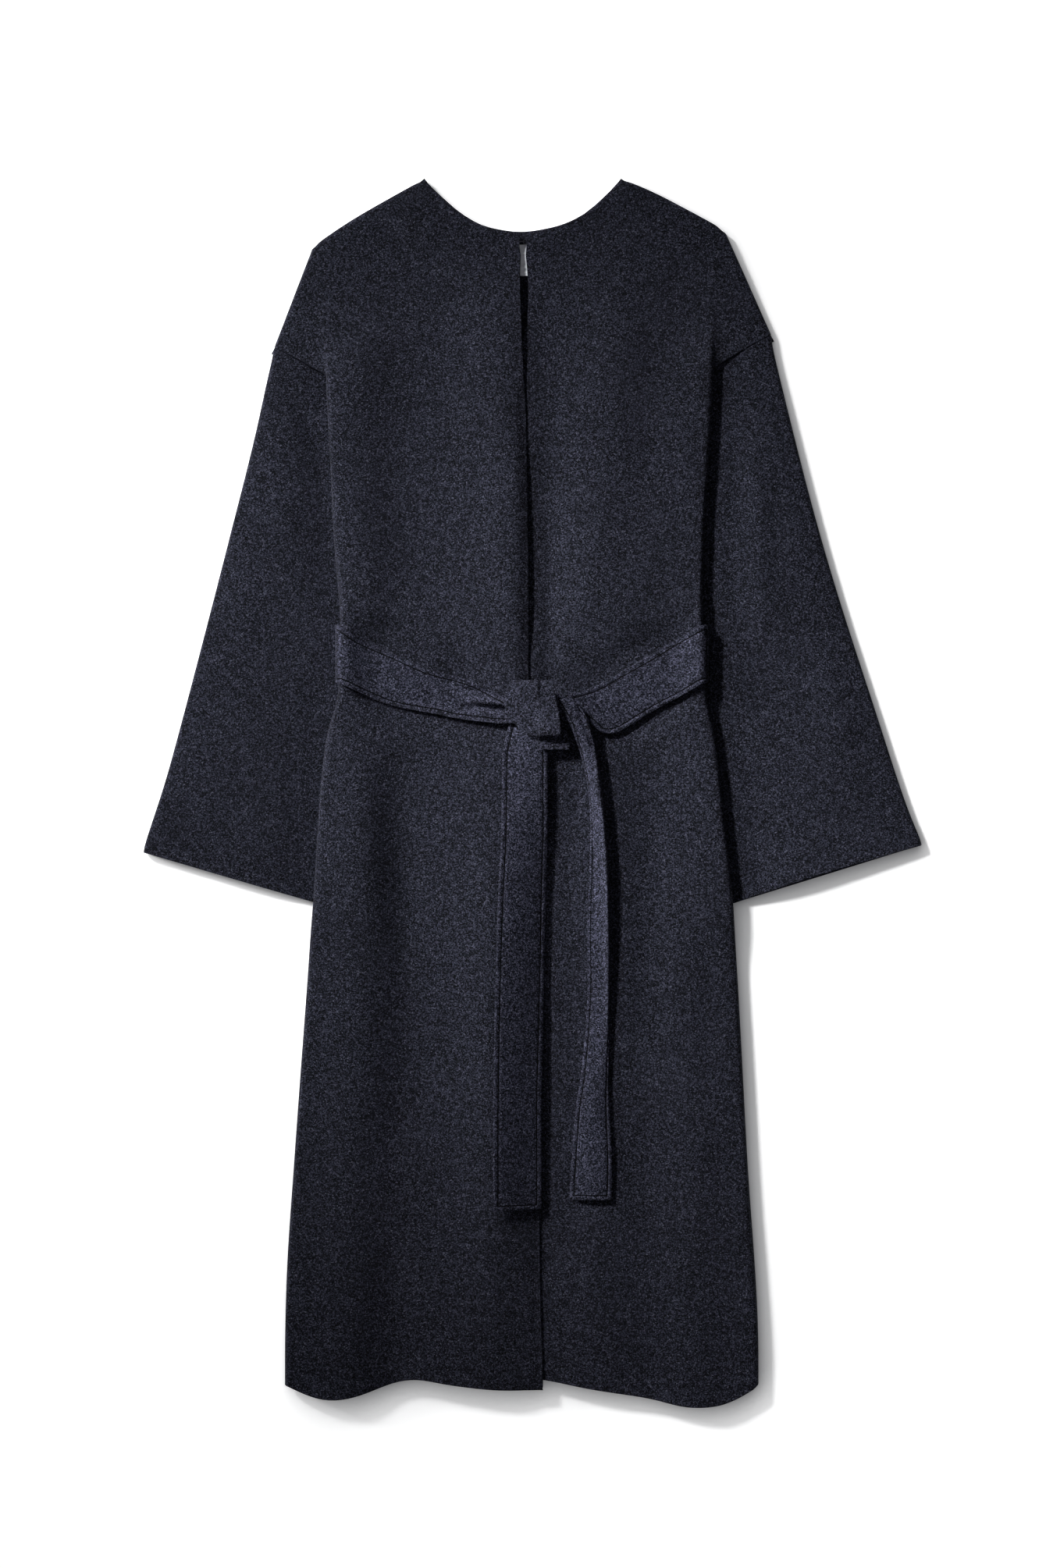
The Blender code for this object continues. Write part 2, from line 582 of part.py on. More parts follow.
def sleeve_tube(name, sleeve):
    """A flat tube: over the top from the outer fold to the inner one, and back underneath."""
    rows = []
    side = sleeve.side
    outline = SLEEVE_EDGE[side]
    for share in SLEEVE_ROWS:
        up = mix(sleeve.armhole_out[1], sleeve.cuff_out[1], share)
        start = Vector((read(list(reversed(outline)), up, "across", key=1) - side * CLOTH / 2, up))
        end = Vector(sleeve.armhole_in).lerp(Vector(sleeve.cuff_in), share)
        run = end - start
        width = run.length
        if share == 0:
            start.y = seam_line(sleeve, start.x) - ARMHOLE_GAP / 2
            end.y -= ARMHOLE_GAP / 2
        direction = run / width
        body = next(d for d in range(20, int(width)) if side * (start.x + direction.x * d)
                    < side * side_edge(start.y + direction.y * d, side))
        steps = (ladder(0, body - 14, turn(SHOULDER_ROLL), [0.0], 4)
                 + ladder(body - 3, width, [0.0], turn(PRESSED_ROLL), 4))
        top, under = [], []
        for distance in steps:
            place = start + run * (distance / width)
            middle = mix(CLOTH / 2 + SHOULDER_ROLL, CLOTH / 2 + PRESSED_ROLL, distance / width)
            turned = rise(distance, SHOULDER_ROLL) * rise(width - distance, PRESSED_ROLL)
            upper = sleeve_height(sleeve, place.x, place.y)
            gape = sleeve.gape * ramp(share, 0.9, 1.0) * sin(pi * distance / width) ** 2
            top.append((place.x, place.y + gape, mix(middle, upper + gape, turned)))
            under.append((place.x, place.y, mix(middle, CLOTH / 2, turned)))
        rows.append(top + list(reversed(under))[1:])
    return cloth(name, [rows])


def strip(name, rows, look=WOOL, thickness=BELT_CLOTH):
    return cloth(name, [rows], thickness, look)


def belt_edge(side):
    """Where the middle of the belt passes round the body's side."""
    return side_edge(BELT_BACK_UP, side) + side * (CLOTH / 2 + BELT_GAP + BELT_CLOTH / 2 + 0.8)


def belt_back():
    """The belt under the back, its ends turned up at the body's sides."""
    ends = [belt_edge(side) for side in (-1, 1)]
    rows = []
    for across in ladder(*ends, turn(BELT_ROLL), turn(BELT_ROLL), 24):
        side = -1 if across < 0 else 1
        inside = min(across - ends[0], ends[1] - across)
        row = []
        for i in range(5):
            up = BELT_BACK_UP + BELT_WIDTH * (i / 4 - 0.5)
            seam = seam_height(up, side) - BELT_EDGE_GAP / 2
            row.append((across, up, mix(seam, belt_back_height(across, up), rise(inside, BELT_ROLL))))
        rows.append(row)
    return strip("belt_back", rows)


def top_of_fronts(across, up):
    edge = read(FRONTS, up, "over")
    under, over = under_front_height(across, up), over_front_height(across, up)
    return mix(over, max(under, over if across < edge + 4 else under), ramp(across, edge + 2, edge + 8)) + CLOTH / 2


def belt_front(name, side, table, steps):
    """A stretch of the belt from the body's side to the knot."""
    rows = []
    outer = belt_edge(side)
    places = [outer - side * distance for distance in turn(BELT_ROLL)]
    places += spread(places[-1], table[-1].across, steps)
    ordered = sorted(table)
    for across in places:
        upper, lower = read(ordered, across, "upper"), read(ordered, across, "lower")
        lift = read(ordered, across, "lift")
        row = []
        for i in range(5):
            up = mix(lower, upper, i / 4)
            inner = outer - side * max(side * (outer - across), BELT_ROLL)
            level = top_of_fronts(inner, up) + BELT_GAP + BELT_CLOTH / 2 + lift
            seam = seam_height(up, side) + BELT_EDGE_GAP / 2
            row.append((across, up, mix(seam, level, rise(side * (outer - across), BELT_ROLL))))
        rows.append(row)
    return strip(name, rows)


def right_tail():
    rows = []
    for i in range(23):
        share = i / 22
        up, left = along(RIGHT_TAIL, share, "across"), along(RIGHT_TAIL, share, "upper")
        right, lift = along(RIGHT_TAIL, share, "lower"), along(RIGHT_TAIL, share, "lift")
        row = []
        for j in range(5):
            across = mix(left, right, j / 4)
            tilt = lift * mix(0.25, 1, j / 4)
            row.append((across, up, top_of_fronts(across, up) + BELT_GAP + BELT_CLOTH / 2 + tilt))
        rows.append(row)
    return strip("belt_right_tail", rows)


def left_tail():
    """Folded along its length near the knot: a long slope up to a crest, and a short one down."""
    rows = []
    for i in range(27):
        share = i / 26
        values = {name: along(LEFT_TAIL, share, name) for name in Tail._fields}
        up = values["up"]
        row = []
        inset = BELT_CLOTH / 2
        left, crest, right = values["left"] + inset, values["crest"], values["right"] - inset
        for across, height in ((left, 0.0), (mix(left, crest, 0.5), 0.62), (mix(left, crest, 0.86), 0.96),
                               (crest, 1.0), (mix(crest, right, 0.6), 0.86), (right, 0.3)):
            floor = top_of_fronts(mix(left, right, 0.5), up) * 0.5 + top_of_fronts(across, up) * 0.5
            row.append((across, up, floor + REST_GAP + 1.0 + BELT_CLOTH / 2 + values["lift"]
                        + height * values["height"]))
        rows.append(row)
    return strip("belt_left_tail", rows)


def knot(name, table, steps, crown):
    """A band wrapped round the knot, each row a place along the band."""
    base = top_of_fronts(10, 668)
    rows = []
    for i in range(steps + 1):
        share = i / steps
        up, height = along(table, share, "up"), along(table, share, "height")
        left, right = along(table, share, "left"), along(table, share, "right")
        rows.append([(mix(left, right, j / 5), up, base + height + crown * sin(pi * j / 5))
                     for j in range(6)])
    return strip(name, rows)


def neck_label():
    """The label is sewn down along its top and stands up against the fronts below that."""
    left, right, foot, top = LABEL
    level = CLOTH + SEAM_GAP + LABEL_THICKNESS / 2
    rows = []
    for j in range(9):
        up = mix(foot, top, j / 8)
        height = level + LABEL_LIFT * ramp(top - up, 1.5, 11)
        rows.append([(mix(left, right, i / 3), up, height) for i in range(4)])
    return strip("neck_label", rows, SATIN, LABEL_THICKNESS)


def wire(name, points, closed):
    """A bent steel wire through a few points."""
    curve = bpy.data.curves.new(name, "CURVE")
    curve.dimensions = "3D"
    curve.bevel_depth = WIRE_RADIUS * MM
    curve.bevel_resolution = 1
    curve.use_fill_caps = True
    spline = curve.splines.new("POLY")
    spline.points.add(len(points) - 1)
    for target, point in zip(spline.points, points):
        target.co = (*to_metres(point), 1.0)
    spline.use_cyclic_u = closed
    curve.materials.append(material(name + "_steel", STEEL))
    piece = bpy.data.objects.new(name, curve)
    bpy.context.collection.objects.link(piece)
    return piece


def hook_and_eye():
    """The eye is a ring under the left front's edge, and the hook bends down through it."""
    level = CLOTH + 2.0
    across, up = EYE_PLACE
    ring = [(across + EYE_RADIUS * cos(2 * pi * i / 14), up + EYE_RADIUS * sin(2 * pi * i / 14), level)
            for i in range(14)]
    eye = wire("neck_eye", ring, True)
    over = level + 2 * WIRE_RADIUS + SEAM_GAP
    below = level - 2 * WIRE_RADIUS - SEAM_GAP
    left = across - EYE_RADIUS
    tip = [(left + 1.3 + 1.5 * sin(pi * i / 6) * 0.6, up, mix(over, below, 0.5 - 0.5 * cos(pi * i / 6)))
           for i in range(7)]
    stem = [(left - 4.5, up, over), (left - 2.0, up, over)]
    hook = wire("neck_hook", stem + tip + [(left - 0.6, up, below)], False)
    return hook, eye


def main():
    for old in list(bpy.data.objects):
        bpy.data.objects.remove(old)
    back_panel()
    front_panel("left_front", 1, "under", under_front_height, HEM_LEFT_FRONT)
    front_panel("right_front", -1, "over", over_front_height, HEM_RIGHT_FRONT)
    sleeve_tube("right_sleeve", RIGHT_SLEEVE)
    sleeve_tube("left_sleeve", LEFT_SLEEVE)
    belt_back()
    belt_front("belt_right_side", -1, RIGHT_BAND, 14)
    belt_front("belt_left_side", 1, LEFT_BAND, 14)
    right_tail()
    left_tail()
    knot("belt_knot", KNOT_FACE, 18, 2.0)
    knot("belt_knot_under", KNOT_FOOT, 7, 0.6)
    neck_label()
    hook_and_eye()


main()
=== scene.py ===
# %% [markdown]
# A kimono coat of dark navy wool lies on its back with its belt tied. The imported CAD model gives
# the whole form: panels, sleeves, the belt's stretches and the knot. This lesson dresses it: each
# cloth gets a finer copy with soft edges, small creases and stitching, and materials made of nodes.
# The first cell loads the frame, and a helper reads a part's box from its vertices. The dressed
# coat has to stay in it.

# %% Load the frame
from collections import namedtuple
from math import cos, pi, radians, sqrt

import bmesh
import bpy
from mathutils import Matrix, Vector
from mathutils.bvhtree import BVHTree


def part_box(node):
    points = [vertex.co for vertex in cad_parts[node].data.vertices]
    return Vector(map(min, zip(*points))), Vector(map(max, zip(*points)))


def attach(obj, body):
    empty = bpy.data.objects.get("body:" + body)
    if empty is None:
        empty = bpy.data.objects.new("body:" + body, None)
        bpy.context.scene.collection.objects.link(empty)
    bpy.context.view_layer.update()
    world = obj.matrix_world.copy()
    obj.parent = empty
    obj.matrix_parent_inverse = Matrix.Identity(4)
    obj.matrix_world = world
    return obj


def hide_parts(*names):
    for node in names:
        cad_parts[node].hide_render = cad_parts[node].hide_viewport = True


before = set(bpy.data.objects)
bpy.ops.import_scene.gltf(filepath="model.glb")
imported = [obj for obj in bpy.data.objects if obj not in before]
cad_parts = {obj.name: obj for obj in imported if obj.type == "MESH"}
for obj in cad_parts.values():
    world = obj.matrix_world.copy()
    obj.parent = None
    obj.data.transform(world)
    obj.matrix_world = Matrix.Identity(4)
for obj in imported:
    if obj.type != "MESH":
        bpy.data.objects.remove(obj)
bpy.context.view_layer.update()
MM = 0.001

# %% [markdown]
# Places on the coat are given in millimetres as its cutter would give them: across from the line
# where the fronts meet, to the wearer's left, and up from the lowest point of the hem. One function
# turns such a place into Blender's metres, and one reads it back from a vertex.

# %% The coat's own measures
CENTRE_ACROSS = 10.0
CENTRE_UP = 590.0


def in_metres(across, up, height=0.0):
    """A place on the coat as a point in Blender."""
    return Vector(((across - CENTRE_ACROSS) * MM, (up - CENTRE_UP) * MM, height * MM))


def on_coat(point):
    """A point in Blender as across, up and height in millimetres."""
    return point.x / MM + CENTRE_ACROSS, point.y / MM + CENTRE_UP, point.z / MM


def ramp(value, start, end):
    """0 before start, 1 after end and a smooth rise between them."""
    share = min(1.0, max(0.0, (value - start) / (end - start)))
    return share * share * (3 - 2 * share)


def mix(first, second, share):
    return first + (second - first) * share


def hump(distance, reach):
    """1 at no distance, 0 at the reach and beyond, and smooth between them."""
    return cos(distance / reach * pi / 2) ** 2 if abs(distance) < reach else 0.0


print("the neck point is at", [round(v, 3) for v in in_metres(-94, 1178)])

# %% [markdown]
# Colours are picked on a screen as sRGB hex values, and a shader works in linear light, so one
# function turns one into the other. A second one adds any node with its settings and its links,
# which keeps each material below short enough to read as a recipe.

# %% Colour and node helpers
def linear(code):
    """An sRGB hex colour as linear red, green, blue and alpha."""
    parts = [int(code[i:i + 2], 16) / 255 for i in (1, 3, 5)]
    return [p / 12.92 if p <= 0.04045 else ((p + 0.055) / 1.055) ** 2.4 for p in parts] + [1.0]


def add_node(tree, kind, settings=None, inputs=None):
    """A node with its settings, and its inputs given as values or as other nodes' outputs."""
    node = tree.nodes.new(kind)
    for name, value in (settings or {}).items():
        setattr(node, name, value)
    for name, value in (inputs or {}).items():
        if isinstance(value, bpy.types.NodeSocket):
            tree.links.new(value, node.inputs[name])
        else:
            node.inputs[name].default_value = value
    return node


def new_material(name):
    """An empty material with its shader and the tree to add nodes to."""
    finish = bpy.data.materials.new(name)
    finish.use_nodes = True
    tree = finish.node_tree
    return finish, tree, tree.nodes["Principled BSDF"]


def set_stops(node, stops):
    """A colour ramp's stops, given as places and hex colours."""
    elements = node.color_ramp.elements
    while len(elements) < len(stops):
        elements.new(0.5)
    for element, (place, code) in zip(elements, stops):
        element.position = place
        element.color = linear(code)


print("navy in linear light:", [round(v, 4) for v in linear("#25262f")])

# %% [markdown]
# The coat is a brushed melton: heathered wool, woven, felted and raised, so no weave shows. What
# the eye sees is a very dark navy ground with paler fibre ends about a millimetre apart, and hardly
# any pattern larger than that. An image would repeat, and a Noise texture makes soft blots, so
# Voronoi cells give each tuft its own random shade, dark for most and pale for a few. On Object
# coordinates they run through every piece at one scale, whatever way a panel lies.

# %% Heathered wool
TUFT_MM = 1.0
TUFT_SHARES = (0.0, 0.5, 0.95, 1.0)  # where the four shades of a wool stand on its colour ramp
CLOUD_MM = 45.0
WEAR = (0.92, 1.08)  # how far the large clouds darken and lighten the wool
NAP_MM = 0.4
STITCH_IN = 4.6  # from the belt's edge to its line of stitches
STITCH_SHADE_HALF_WIDTH = 0.55  # half the width of the near-black line of painted shade in the stitch groove, in millimetres


def scale_of(size_mm):
    """The scale at which a noise texture's spots are this far apart."""
    return 1 / (size_mm * MM)


def brushed_wool(name, shades, sewn=False):
    """Heathered wool. On a sewn piece a near-black line of painted shade runs at STITCH_IN from its
    edges, in the groove of its stitches.
    """
    finish, tree, shader = new_material(name)
    place = add_node(tree, "ShaderNodeTexCoord").outputs["Object"]
    tufts = add_node(tree, "ShaderNodeTexVoronoi", {"feature": "F1"}, {
        "Vector": place, "Scale": scale_of(TUFT_MM), "Randomness": 1.0})
    chance = add_node(tree, "ShaderNodeSeparateColor", {}, {"Color": tufts.outputs["Color"]})
    colour = add_node(tree, "ShaderNodeValToRGB", {}, {"Fac": chance.outputs["Red"]})
    set_stops(colour, list(zip(TUFT_SHARES, shades)))
    clouds = add_node(tree, "ShaderNodeTexNoise", {"noise_dimensions": "3D"}, {
        "Vector": place, "Scale": scale_of(CLOUD_MM), "Detail": 2.0, "Roughness": 0.5})
    worn = add_node(tree, "ShaderNodeMapRange", {}, {
        "Value": clouds.outputs["Fac"], "From Min": 0.3, "From Max": 0.7,
        "To Min": WEAR[0], "To Max": WEAR[1]})
    shaded = add_node(tree, "ShaderNodeVectorMath", {"operation": "SCALE"}, {
        0: colour.outputs["Color"], "Scale": worn.outputs["Result"]})
    nap = add_node(tree, "ShaderNodeBump", {"invert": True}, {
        "Height": tufts.outputs["Distance"], "Strength": 0.35, "Distance": NAP_MM * MM})
    if sewn:
        edge = add_node(tree, "ShaderNodeAttribute", {"attribute_name": "edge_mm"}).outputs["Fac"]
        # painted shade: the stitch groove is painted in the wool's darkest shade, as a near-black line
        groove_shade = add_node(tree, "ShaderNodeMath", {"operation": "COMPARE"}, {
            0: edge, 1: STITCH_IN, 2: STITCH_SHADE_HALF_WIDTH})
        shaded = add_node(tree, "ShaderNodeMix", {"data_type": "RGBA"}, {
            "Factor": groove_shade.outputs[0], 6: shaded.outputs["Vector"], 7: linear(shades[0])})
    tree.links.new(shaded.outputs[2 if sewn else "Vector"], shader.inputs["Base Color"])
    tree.links.new(nap.outputs["Normal"], shader.inputs["Normal"])
    shader.inputs["Roughness"].default_value = 0.92
    shader.inputs["Specular IOR Level"].default_value = 0.08
    shader.inputs["Sheen Weight"].default_value = 0.012
    shader.inputs["Sheen Roughness"].default_value = 0.45
    shader.inputs["Sheen Tint"].default_value = linear("#a9adc8")
    return finish


COAT_SHADES = ("#030304", "#17181f", "#373845", "#4e4f5d")
# Belt and knot are the coat's own melton. Their shades are painted lighter than the coat's, the knot's
# a little less: painted light for the lamps they face.
BELT_SHADES_PAINTED_LIT = ("#030304", "#1f2029", "#464758", "#5e5f72")
KNOT_SHADES_PAINTED_LIT = ("#030304", "#1b1c23", "#3d3e4d", "#525364")
coat_wool = brushed_wool("brushed navy melton, coat", COAT_SHADES)
belt_wool_painted_lit = brushed_wool("brushed navy melton, belt, painted lighter", BELT_SHADES_PAINTED_LIT, sewn=True)
knot_wool_painted_lit = brushed_wool("brushed navy melton, knot, painted lighter", KNOT_SHADES_PAINTED_LIT)
print("wool:", coat_wool.name, "and", belt_wool_painted_lit.name)

# %% [markdown]
# Each cloth of the CAD model is a closed wall with few faces. A finer copy keeps its form: its
# loose triangles are merged and paired to quads, and Subdivision Surface rounds it. Subdividing
# alone would draw the wall's thin rim out into a blade, so the two edges of the rim are bevelled
# first. The rim's short edges run straight through the wall, which is how the code finds them.

# %% Find a wall's rim
CORNER_TURN = radians(27)
THROUGH = (0.8, 1.3)  # the least and the greatest length of such an edge, for a wall 1 mm thick
SQUARE = 0.8  # how well it lines up with the skins' normals, where 1 is exactly


def through_wall(edge, thickness):
    """Whether an edge is as long as the wall is thick, and square to the skins at its two ends."""
    if not THROUGH[0] * thickness < edge.calc_length() / MM < THROUGH[1] * thickness:
        return False
    along = (edge.verts[1].co - edge.verts[0].co).normalized()
    skins = [max(corner.link_faces, key=lambda face: face.calc_area()) for corner in edge.verts]
    return all(abs(along.dot(skin.normal)) > SQUARE for skin in skins)


def rim_of(mesh, thickness):
    """A wall's rim as faces, and the edges between them and its two skins."""
    faces = {face for edge in mesh.edges if through_wall(edge, thickness) for face in edge.link_faces}
    edges = [edge for edge in mesh.edges
             if len(edge.link_faces) == 2 and sum(face in faces for face in edge.link_faces) == 1]
    return faces, edges


def sharp_corners(edges):
    """Places where a rim turns by more than CORNER_TURN, as at a hem's or a cuff's corner."""
    beside = {}
    for edge in edges:
        for near, far in (edge.verts, reversed(edge.verts)):
            beside.setdefault(near, []).append(far)
    corners = []
    for near, others in beside.items():
        if len(others) == 2:
            first, second = (other.co - near.co for other in others)
            if min(first.length, second.length) > 0 and pi - first.angle(second) > CORNER_TURN:
                corners.append(near.co.copy())
    return corners


print("corners are turns of more than", round(CORNER_TURN * 180 / pi), "degrees")

# %% [markdown]
# Subdividing also rounds a cloth's outline, which would blunt the hem's and the cuffs' corners and
# the neck points. Blender keeps a vertex where it is when its crease is 1, so the corners get one.
# They are looked for before the bevel, while each is still a single turn of the rim.

# %% Keep the corners sharp
RIM_SOFTNESS = 0.55  # how far a raw-looking edge of felted wool rounds off, in millimetres
CORNER_REACH = 2.4 * RIM_SOFTNESS
NECK_POINTS = [(-94.0, 1178.0), (95.0, 1178.0)]  # here the skin itself turns over, with no rim
NECK_POINT_REACH = 4.0
ARMHOLE_ACROSS = (170, 262)
ARMHOLE_UP = (975, 1045)


def at_armhole(point):
    """Where a sleeve meets a dropped shoulder: there both outlines have to stay alike."""
    across, up, height = on_coat(point)
    beside = ARMHOLE_ACROSS[0] < abs(across) < ARMHOLE_ACROSS[1]
    return beside and ARMHOLE_UP[0] < up < ARMHOLE_UP[1]


def keep_corners(mesh, corners):
    """Give the vertices at the outline's corners a crease, so that subdividing leaves them sharp."""
    sharp = mesh.verts.layers.float.new("crease_vert")
    tips = [in_metres(*point).to_2d() for point in NECK_POINTS]
    for vertex in mesh.verts:
        at_corner = any((vertex.co - corner).length < CORNER_REACH * MM for corner in corners)
        if at_corner or any((vertex.co.to_2d() - tip).length < NECK_POINT_REACH * MM for tip in tips):
            vertex[sharp] = 1.0


print("vertices within", round(CORNER_REACH, 2), "mm of a corner stay where they are")

# %% [markdown]
# Now the pieces come together. The copy is cleaned, bevelled and turned to quads in Edit Mode, then
# subdivided, and then a rule moves each vertex up or down. Each vertex also notes how far it is from
# the rim, because the belt's shader paints the shade in its stitch groove by that distance.

# %% Make a finer copy of a cloth
SAME_PLACE = 0.02  # the frame's triangles share no corners, and corners this close become one


def deselect_all():
    for thing in bpy.context.selected_objects:
        thing.select_set(False)


def apply_all(piece):
    bpy.context.view_layer.objects.active = piece
    for modifier in list(piece.modifiers):
        bpy.ops.object.modifier_apply(modifier=modifier.name)


def shape(piece, rim, rule):
    """Note each vertex's distance from the rim, and move it up or down as the rule says."""
    mesh = piece.data
    normals = [vertex.normal.copy() for vertex in mesh.vertices]
    distances = [rim.find_nearest(vertex.co)[3] / MM for vertex in mesh.vertices]
    for vertex, normal, distance in zip(mesh.vertices, normals, distances):
        across, up, height = on_coat(vertex.co)
        vertex.co.z += rule(across, up, height, distance, normal) * MM
    note = mesh.attributes.new("edge_mm", "FLOAT", "POINT")
    note.data.foreach_set("value", distances)


def finer_copy(node, thickness, levels, finish, rule):
    """A smooth, finer piece of the same form as a CAD cloth."""
    piece = bpy.data.objects.new(node + "_cloth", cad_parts[node].data.copy())
    bpy.context.collection.objects.link(piece)
    deselect_all()
    piece.select_set(True)
    bpy.context.view_layer.objects.active = piece
    bpy.ops.object.mode_set(mode="EDIT")
    bpy.ops.mesh.select_all(action="SELECT")
    bpy.ops.mesh.remove_doubles(threshold=SAME_PLACE * MM)
    mesh = bmesh.from_edit_mesh(piece.data)
    faces, edges = rim_of(mesh, thickness)
    corners = [corner for corner in sharp_corners(edges) if not at_armhole(corner)]
    rim = BVHTree.FromPolygons([vertex.co.copy() for vertex in mesh.verts],
                               [[vertex.index for vertex in face.verts] for face in faces])
    bpy.ops.mesh.select_all(action="DESELECT")
    bpy.ops.mesh.select_mode(type="EDGE")
    for edge in edges:
        edge.select = True
    bmesh.update_edit_mesh(piece.data)
    bpy.ops.mesh.bevel(offset=RIM_SOFTNESS * MM, segments=2, affect="EDGES")
    bpy.ops.mesh.select_all(action="SELECT")
    bpy.ops.mesh.tris_convert_to_quads(face_threshold=radians(50), shape_threshold=radians(70))
    keep_corners(bmesh.from_edit_mesh(piece.data), corners)
    bmesh.update_edit_mesh(piece.data)
    bpy.ops.object.mode_set(mode="OBJECT")
    rounder = piece.modifiers.new("Rounder", "SUBSURF")
    rounder.levels = levels
    rounder.render_levels = levels
    apply_all(piece)
    shape(piece, rim, rule)
    bpy.ops.object.shade_smooth()
    piece.data.materials.clear()
    piece.data.materials.append(finish)
    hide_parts(node)
    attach(piece, "root")
    print(node, "corners", len(corners), "faces", len(piece.data.polygons))
    return piece


print("a cloth's rim is rounded by", RIM_SOFTNESS, "mm")

# %% [markdown]
# A tied belt draws the cloth in, so the fronts dip along it: they slope down to its upper edge and
# rise again below it. The belt's two edges are known as lines across the coat, and the dip is a
# depth that depends on how far a place is above or below them.

# %% Where the belt presses
Edges = namedtuple("Edges", "across upper lower")
RIGHT_STRETCH = [
    Edges(-178, 751, 695), Edges(-161, 739.5, 688), Edges(-121.5, 722, 672), Edges(-87, 707, 666),
    Edges(-58.5, 700, 660), Edges(-32, 689, 657), Edges(-6, 676, 657), Edges(12, 672, 657),
]
LEFT_STRETCH = [
    Edges(24, 680, 668), Edges(36, 682, 668), Edges(52, 686, 664), Edges(66, 690, 656),
    Edges(80, 697, 645), Edges(90, 703, 647), Edges(106, 712, 656), Edges(127, 724, 669),
    Edges(153, 739.5, 682.5), Edges(178, 751, 695),
]
KNOT_ACROSS = 16.0  # here the two side stretches meet, under the knot
PRESS_DEPTH = 4.0
PRESS_ABOVE = 36.0  # the slope above the belt is this wide
PRESS_BELOW = 26.0
SIDE_SEAM = (172, 146)  # towards the side seam the dip runs out


def belt_edges(across):
    """How far up the belt's upper and lower edges run at a place across the coat."""
    rows = RIGHT_STRETCH if across < KNOT_ACROSS else LEFT_STRETCH
    for row, following in zip(rows, rows[1:]):
        if across <= following.across:
            share = max(0.0, (across - row.across) / (following.across - row.across))
            return mix(row.upper, following.upper, share), mix(row.lower, following.lower, share)
    return rows[-1].upper, rows[-1].lower


def belt_dip(across, up):
    """How far the belt draws the cloth down at a place, as a height below zero."""
    upper, lower = belt_edges(across)
    if up > upper:
        share = 1 - ramp(up - upper, 0, PRESS_ABOVE)
    else:
        share = 1 - ramp(lower - up, 0, PRESS_BELOW)
    return -PRESS_DEPTH * share * ramp(abs(across), *SIDE_SEAM)


print("belt edges at 100 mm across:", [round(up) for up in belt_edges(100)])

# %% [markdown]
# The body is one back panel and two fronts, and each sleeve is a tube. The sleeves lie flat, so
# their inner ends are hidden between the body's layers. A crease is a line from one place to
# another with a reach to both sides, and a height, which is below zero for a trough.

# %% Soft creases
Crease = namedtuple("Crease", "across up to_across to_up left right height end")
SETS_IN = (0, 0.4)  # shares of its length over which a crease grows to its full height
DIES_OUT = (1, 0.6)  # and over which it fades towards its end
RUNS_OUT = (1.15, 1)  # what is left at the end fades over these


def creases(lines, across, up):
    """Height that soft creases add at a place. Each line runs down the coat, with a reach to the
    left and right of it in the picture, and end is the share of it left where the line ends."""
    total = 0.0
    for line in lines:
        run = line.to_across - line.across
        climb = line.to_up - line.up
        length = sqrt(run * run + climb * climb)
        share = ((across - line.across) * run + (up - line.up) * climb) / length ** 2
        aside = ((across - line.across) * climb - (up - line.up) * run) / length
        if 0 < share < RUNS_OUT[0]:
            fade = ramp(share, *SETS_IN) * mix(ramp(share, *DIES_OUT), ramp(share, *RUNS_OUT), line.end)
            total += line.height * fade * hump(aside, line.left if aside > 0 else line.right)
    return total


FRONT_CREASES = [
    Crease(-24, 640, -28, 40, 42, 60, 4.6, 0.0),
    Crease(-205, 640, -225, 60, 20, 26, 1.6, 0.0),
    Crease(96, 640, 104, 60, 30, 34, 1.5, 0.0),
    Crease(-136, 668, -112, 400, 24, 36, -3.0, 0.0),  # the trough below the belt
]
OVER_CREASES = [Crease(-7, 1010, -5, 690, 42, 14, 1.6, 1.0)]
UNDER_CREASES = [
    Crease(19, 925, 25, 690, 10, 16, -2.2, 1.0), Crease(60, 900, 62, 720, 24, 30, 1.2, 0.0),
    Crease(6, 1060, 7, 870, 14, 30, 3.2, 0.2),
]
LAP_EDGE_DROP = 1.3  # the free edge lies down on the front below it
LAP_EDGE_REACH = 12.0
LAP_EDGE_ACROSS = (-8, 2)
LAP_EDGE_ROWS = (1000, 965)
SLEEVE_FACES_UP = (0, 0.3)  # how far up a normal points where the upper side sets in
SLEEVE_CREASES = [
    Crease(-236, 1000, -190, 900, 12, 14, -2.0, 0.3), Crease(-228, 880, -222, 805, 24, 22, 1.2, 0.0),
    Crease(-246, 810, -246, 725, 16, 18, -0.9, 0.0), Crease(-320, 650, -312, 555, 26, 22, 1.4, 0.3),
    Crease(-262, 625, -256, 550, 22, 20, -1.2, 0.3),
    Crease(222, 965, 234, 700, 20, 22, 2.8, 0.0), Crease(282, 740, 318, 610, 24, 26, 2.2, 0.2),
    Crease(254, 690, 262, 580, 26, 26, -1.3, 0.2), Crease(350, 575, 215, 535, 5, 7, -0.8, 0.6),
]


def over_rule(across, up, height, edge, normal):
    """The front that laps over: its free edge drops below the end of the opening."""
    folds = creases(FRONT_CREASES + OVER_CREASES, across, up)
    lap = ramp(across, *LAP_EDGE_ACROSS) * hump(edge, LAP_EDGE_REACH) * ramp(up, *LAP_EDGE_ROWS)
    return belt_dip(across, up) + folds - LAP_EDGE_DROP * lap


def under_rule(across, up, height, edge, normal):
    return belt_dip(across, up) + creases(FRONT_CREASES + UNDER_CREASES, across, up)


def sleeve_rule(across, up, height, edge, normal):
    """Creases shape only a sleeve's upper side, and its lower one stays on the surface."""
    return creases(SLEEVE_CREASES, across, up) * ramp(normal.z, *SLEEVE_FACES_UP)


